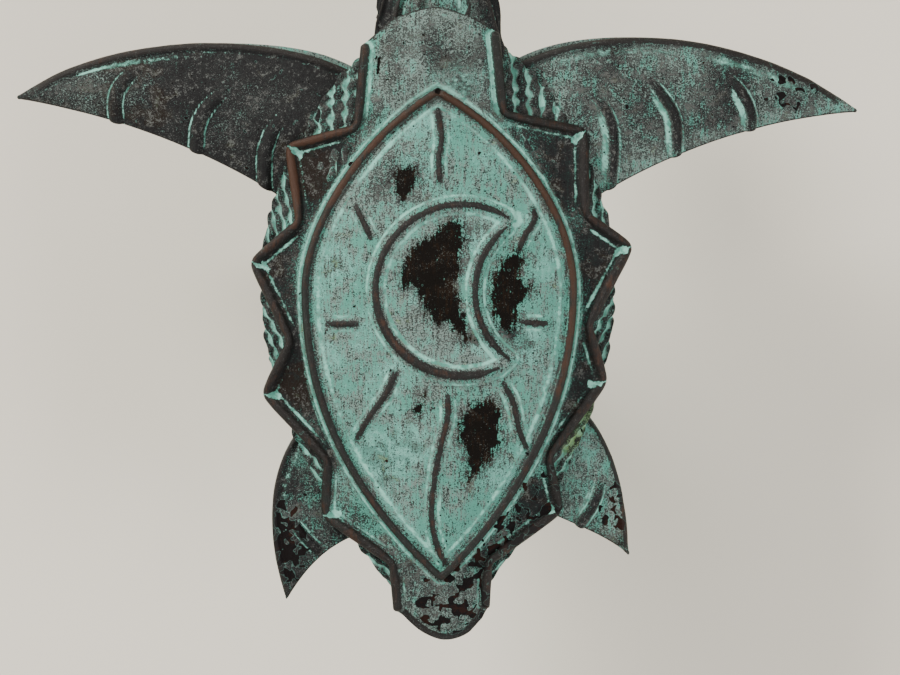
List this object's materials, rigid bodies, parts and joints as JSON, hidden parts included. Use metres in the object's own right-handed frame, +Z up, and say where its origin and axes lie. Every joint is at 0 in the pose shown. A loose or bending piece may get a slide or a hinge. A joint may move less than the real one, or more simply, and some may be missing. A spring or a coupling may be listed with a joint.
{
  "type": "weather vane",
  "caption": "Sea-turtle weather vane in hollow sheet copper: domed shell with a star-shaped collar, swept flippers, neck and head, turning on a ball-topped spindle.",
  "frame": {"origin": "centre of the spindle's flat foot, on the turning axis", "axes": "+Z up along the spindle, head towards -Y and tail towards +Y, so +X is the turtle's left side"},
  "size_m": [0.6009, 0.5773, 0.2245],
  "materials": {
    "verdigris_copper": "sheet copper under a chalky mint-green patina",
    "dark_copper": "sheet copper, dark grey-brown with green in the hollows",
    "eye_brass": "dulled solid brass",
    "brass": "plain drawn brass",
    "bronze": "oil-filled sintered bronze",
    "steel": "turned stainless steel"
  },
  "bodies": {
    "spindle": {"spindle_rod": "steel", "thrust_ball": "steel"},
    "turtle": {"carapace_medallion": "verdigris_copper", "carapace_collar": "dark_copper", "carapace_skirt": "verdigris_copper", "plastron": "verdigris_copper", "neck_sleeve": "verdigris_copper", "head_crown": "dark_copper", "head_jaw": "dark_copper", "eye_left": "eye_brass", "eye_right": "eye_brass", "front_flipper_left_top": "dark_copper", "front_flipper_left_underside": "dark_copper", "front_flipper_right_top": "dark_copper", "front_flipper_right_underside": "dark_copper", "rear_flipper_left_top": "dark_copper", "rear_flipper_left_underside": "dark_copper", "rear_flipper_right_top": "dark_copper", "rear_flipper_right_underside": "dark_copper", "mounting_tube": "dark_copper", "belly_flange": "dark_copper", "tube_cap": "brass", "crown_saddle": "brass", "upper_bush": "bronze", "lower_bush": "bronze", "spine_bar": "brass", "flipper_spar": "brass", "retaining_screw": "brass"}
  },
  "joints": [
    {"name": "vane_spin", "type": "hinge", "parent": "spindle", "child": "turtle", "pos_m": [0, 0, 0.08], "axis": [0, 0, 1], "continuous": true}
  ]
}
